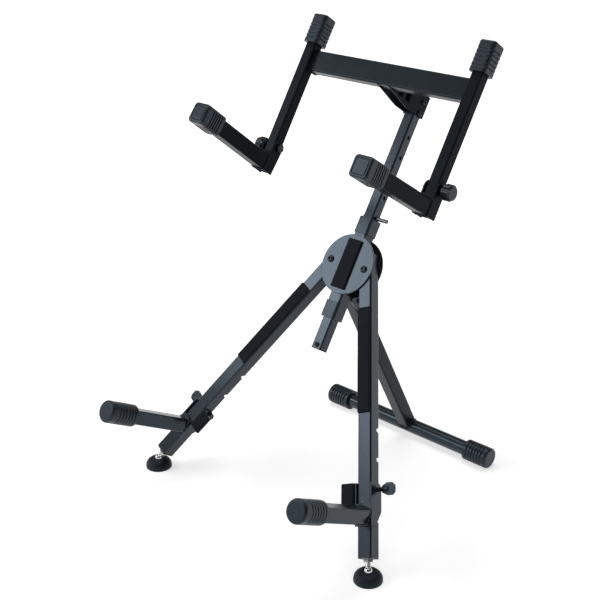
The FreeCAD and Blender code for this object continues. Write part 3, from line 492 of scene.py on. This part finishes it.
# Mast: a square tube that slides in the collars, with a row of cross holes. A zinc-plated pin
# through one of them lies on the upper collar and carries the mast.
dress(leg_coat, "mast_tube")
zinc = plated("dull_zinc", (0.17, 0.18, 0.195), 0.3, 900)
dress(zinc, "locking_pin")


# Neck and upper frame: a slotted channel bolted over the mast's head carries a crossbar, and two
# uprights are welded to the crossbar's ends, with ribbed rubber caps on their heads.
bar_coat = powder_coat("satin_black_bar_coat", (0.0165, 0.0203, 0.0255), (0.044, 0.05, 0.058),
                       0.29, 0.18)
dress(frame_paint_with_painted_shade, "neck_bracket", *sides("upright"))
dress(bar_coat, "crossbar")
dress(boot_rubber, "upright_caps")
bar_axes = Matrix((hub_axes.col[2], mast_up, -across)).transposed()
cross_low, cross_high = extent("crossbar", hub_axes)
cross_middle = (cross_low + cross_high) / 2
for side, end in (("right", cross_high.x), ("left", cross_low.x)):
    bar_end = hub_axes @ Vector((end, cross_middle.y, cross_middle.z))
    weld_bead(f"{side}_crossbar_weld", bar_end, bar_axes, cross_high.z - cross_low.z,
              cross_high.y - cross_low.y, "mast_set", frame_paint_with_painted_shade)


# Upper arms: a folded saddle swings on a clamp screw through each upright, with a square tube
# welded to its face and a ribbed square cap on the tube's end.
dress(frame_paint_with_painted_shade, *sides("upper_bracket", "upper_arm"))
dress(boot_rubber, *sides("upper_arm_cap"))
dress(hard_plastic, *sides("clamp_knob"))
for side in ("right", "left"):
    lowest = math.radians(joints[f"{side}_upper_arm_fold"]["range_deg"][0])
    arm_axes = Matrix.Rotation(lowest, 3, "X") @ hub_axes
    arm_low, arm_high = extent(f"{side}_upper_arm", arm_axes)
    arm_foot = (arm_low + arm_high) / 2
    arm_foot.z = arm_low.z
    weld_bead(f"{side}_upper_arm_weld", arm_axes @ arm_foot, arm_axes, arm_high.x - arm_low.x,
              arm_high.y - arm_low.y, f"{side}_upper_arm_set", frame_paint_with_painted_shade)


# Studio: a pale floor that fades to white, a broad soft lamp overhead, and a strip lamp at the
# front left whose reflection lies in the leaning front faces round the hub. The sky above is grey,
# and white near the horizon wherever it is seen or mirrored.
floor_size, floor_grey, floor_glow = 40, 0.72, 0.6
fade_start, fade_end, fade_reach = 0.8, 2.8, 4.0
start()
bpy.ops.mesh.primitive_plane_add(size=floor_size)
floor = bpy.context.object
floor.name = floor.data.name = "studio_floor"
floor_finish = Finish("studio_floor_white", {"Roughness": 0.9, "Specular IOR Level": 0.0,
                                             "Emission Strength": 1.0})
floor_finish.shader.inputs["Base Color"].default_value = (floor_grey,) * 3 + (1,)
distance = floor_finish.add("ShaderNodeVectorMath", {"operation": "LENGTH"},
                            {0: floor_finish.place}, output="Value")
far = floor_finish.ramp(distance * (1 / fade_reach), fade_start / fade_reach,
                        fade_end / fade_reach)
paths = floor_finish.tree.nodes.new("ShaderNodeLightPath")
seen = Value(floor_finish, paths.outputs["Is Camera Ray"]) \
    + Value(floor_finish, paths.outputs["Is Glossy Ray"]) \
    + Value(floor_finish, paths.outputs["Is Transmission Ray"])
floor_finish.feed(floor_finish.shader.inputs["Emission Color"],
                  seen * (floor_glow + far * (1 - floor_glow)))
floor.data.materials.append(floor_finish.material)


def soft_lamp(name, place, target, width, height, power):
    """A rectangular soft lamp that faces its target."""
    lamp_data = bpy.data.lights.new(name, "AREA")
    lamp_data.shape, lamp_data.size, lamp_data.size_y = "RECTANGLE", width, height
    lamp_data.energy = power
    lamp = bpy.data.objects.new(name, lamp_data)
    bpy.context.scene.collection.objects.link(lamp)
    lamp.location = place
    lamp.rotation_euler = (target - place).to_track_quat("-Z", "Y").to_euler()


hub_spot = Vector((0, 0.1118, 0.467))
overhead_place, overhead_target = Vector((-0.5, 0.4, 3.4)), Vector((0, 0, 0.3))
overhead_size, overhead_power = 2.6, 62
strip_offset = Vector((-3.94, -4.52, 3.14))
strip_width, strip_height, strip_power = 4.8, 1.5, 162
soft_lamp("overhead_lamp", overhead_place, overhead_target, overhead_size, overhead_size,
          overhead_power)
soft_lamp("front_left_lamp", hub_spot + strip_offset, hub_spot, strip_width, strip_height,
          strip_power)

sky_light = ((0.0, 0.5), (0.4, 0.1))
sky_backdrop = ((0.08, 1.0), (0.34, 0.1))
world = bpy.context.scene.world or bpy.data.worlds.new("studio")
bpy.context.scene.world = world
world.use_nodes = True
sky = world.node_tree
sky.nodes.clear()
direction = sky.nodes.new("ShaderNodeTexCoord")
split = sky.nodes.new("ShaderNodeSeparateXYZ")
sky.links.new(direction.outputs["Generated"], split.inputs[0])


def sky_level(stops):
    """A grey that changes with the height above the horizon."""
    level = sky.nodes.new("ShaderNodeValToRGB")
    for stop, (spot, grey) in zip(level.color_ramp.elements, stops):
        stop.position, stop.color = spot, (grey, grey, grey, 1)
    sky.links.new(split.outputs["Z"], level.inputs[0])
    return level.outputs[0]


rays = sky.nodes.new("ShaderNodeLightPath")
shown = rays.outputs["Is Camera Ray"]
for kind in ("Is Glossy Ray", "Is Transmission Ray"):
    either = sky.nodes.new("ShaderNodeMath")
    sky.links.new(shown, either.inputs[0])
    sky.links.new(rays.outputs[kind], either.inputs[1])
    shown = either.outputs[0]
pick = sky.nodes.new("ShaderNodeMix")
pick.data_type = "RGBA"
sky.links.new(shown, pick.inputs[0])
sky.links.new(sky_level(sky_light), pick.inputs[6])
sky.links.new(sky_level(sky_backdrop), pick.inputs[7])
glow = sky.nodes.new("ShaderNodeBackground")
sky.links.new(pick.outputs[2], glow.inputs["Color"])
sky_out = sky.nodes.new("ShaderNodeOutputWorld")
sky.links.new(glow.outputs[0], sky_out.inputs[0])

# Camera: the photograph's place and lens, to the stand's right, above it and in front, with no
# shift and no depth of field.
lens_length, sensor_width = 71.1, 36
camera_place, camera_dip, camera_turn = (1.4759, -1.58995, 1.3366), 22.75, 43.63
camera_data = bpy.data.cameras.new("camera")
camera_data.lens, camera_data.sensor_width = lens_length, sensor_width
camera = bpy.data.objects.new("camera", camera_data)
bpy.context.scene.collection.objects.link(camera)
camera.location = camera_place
camera.rotation_euler = (math.radians(90 - camera_dip), 0, math.radians(camera_turn))
bpy.context.scene.camera = camera
bpy.context.scene.view_settings.view_transform = "Standard"
